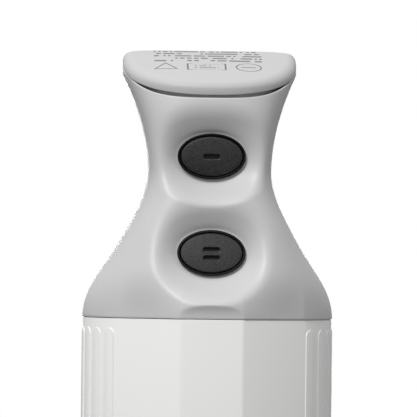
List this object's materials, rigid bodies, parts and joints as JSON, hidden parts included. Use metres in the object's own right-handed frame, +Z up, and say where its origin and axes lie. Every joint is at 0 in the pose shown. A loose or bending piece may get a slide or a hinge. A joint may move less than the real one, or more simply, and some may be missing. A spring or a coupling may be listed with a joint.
{
  "type": "immersion blender",
  "caption": "Upright two-speed immersion blender: waisted grey handle with two dished oval buttons, white faceted motor housing, detachable foot with bell guard and blade.",
  "frame": {"origin": "centre of the bell guard's rim, in the plane the blender stands on", "axes": "+Z up the shaft, speed buttons face -Y, +X to the right of the buttons"},
  "size_m": [0.0684, 0.0664, 0.3757],
  "materials": {
    "handle_grey": "fine satin, moulded",
    "housing_white": "satin, moulded",
    "shaft_white": "satin, moulded",
    "button_dark": "fine textured elastomer",
    "ring_black": "smooth black seal",
    "gland_rubber": "matte",
    "seal_rubber": "matte",
    "bronze_bush": "sintered",
    "blade_steel": "ground",
    "shaft_steel": "turned",
    "spring_steel": "drawn wire",
    "screw_steel": "zinc plated",
    "frame_zinc": "die cast",
    "core_steel": "stacked laminations",
    "copper_coil": "enamelled wire",
    "carbon": "pressed carbon",
    "coupling_nylon": "glass-filled nylon",
    "inner_plastic": "moulded",
    "board_green": "laminate",
    "capacitor_sleeve": "sleeve"
  },
  "bodies": {
    "blending_foot": {"shaft_tube": "shaft_steel", "bell_guard": "shaft_white", "shaft_neck": "shaft_white", "lower_shaft_bush": "bronze_bush", "upper_shaft_bush": "bronze_bush", "shaft_seal": "seal_rubber"},
    "blade_drive": {"drive_shaft": "shaft_steel", "blade_hub": "coupling_nylon", "blade_nut": "blade_steel", "thrust_washer": "shaft_steel", "shaft_circlip": "spring_steel", "blade": "blade_steel", "driven_coupling": "coupling_nylon"},
    "rotor": {"motor_shaft": "shaft_steel", "rotor_core": "core_steel", "rotor_windings": "copper_coil", "commutator": "copper_coil", "fan": "coupling_nylon", "drive_coupling": "coupling_nylon"},
    "upper_speed_button": {"speed_button_1": "button_dark"},
    "lower_speed_button": {"speed_button_2": "button_dark"},
    "left_release": {"release_button_left": "handle_grey"},
    "right_release": {"release_button_right": "handle_grey"},
    "motor_unit": {"motor_housing": "housing_white", "housing_base": "housing_white", "retaining_clip": "spring_steel", "base_screws": "screw_steel", "release_spring_left": "spring_steel", "release_spring_right": "spring_steel", "motor_frame_lower": "frame_zinc", "motor_frame_upper": "frame_zinc", "lower_bearing": "bronze_bush", "upper_bearing": "bronze_bush", "lower_mount_ring": "seal_rubber", "upper_mount_ring": "seal_rubber", "stator_core": "core_steel", "field_coils": "copper_coil", "motor_screws": "screw_steel", "brush_holders": "frame_zinc", "carbon_brushes": "carbon", "brush_springs": "spring_steel", "handle_shell": "handle_grey", "top_cap": "handle_grey", "cord_gland": "gland_rubber", "joint_ring": "inner_plastic", "button_bezel_1": "ring_black", "button_bezel_2": "ring_black", "button_guide_1": "inner_plastic", "button_guide_2": "inner_plastic", "return_spring_1": "spring_steel", "return_spring_2": "spring_steel", "micro_switch_1": "coupling_nylon", "micro_switch_2": "coupling_nylon", "switch_board": "board_green", "switch_bracket": "inner_plastic", "terminal_block": "inner_plastic", "capacitor": "capacitor_sleeve"}
  },
  "joints": [
    {"name": "motor_unit_lift", "type": "slide", "parent": "blending_foot", "child": "motor_unit", "axis": [0, 0, 1], "range_m": [0, 0.035], "deforming": ["retaining_clip"]},
    {"name": "rotor_spin", "type": "hinge", "parent": "motor_unit", "child": "rotor", "pos_m": [0, 0, 0.25], "axis": [0, 0, 1], "continuous": true},
    {"name": "blade_spin", "type": "hinge", "parent": "blending_foot", "child": "blade_drive", "pos_m": [0, 0, 0.1], "axis": [0, 0, 1], "continuous": true},
    {"name": "upper_speed_press", "type": "slide", "parent": "motor_unit", "child": "upper_speed_button", "axis": [0, 1, 0], "range_m": [0, 0.0012], "stiffness_N_per_m": 1500, "deforming": ["return_spring_1"]},
    {"name": "lower_speed_press", "type": "slide", "parent": "motor_unit", "child": "lower_speed_button", "axis": [0, 1, 0], "range_m": [0, 0.0012], "stiffness_N_per_m": 1500, "deforming": ["return_spring_2"]},
    {"name": "left_release_press", "type": "slide", "parent": "motor_unit", "child": "left_release", "axis": [1, 0, 0], "range_m": [0, 0.002], "stiffness_N_per_m": 1500, "deforming": ["release_spring_left"]},
    {"name": "right_release_press", "type": "slide", "parent": "motor_unit", "child": "right_release", "axis": [-1, 0, 0], "range_m": [0, 0.002], "stiffness_N_per_m": 1500, "deforming": ["release_spring_right"]}
  ],
  "couplings": [
    {"joint": "blade_spin", "follows": "rotor_spin", "ratio": 1}
  ]
}
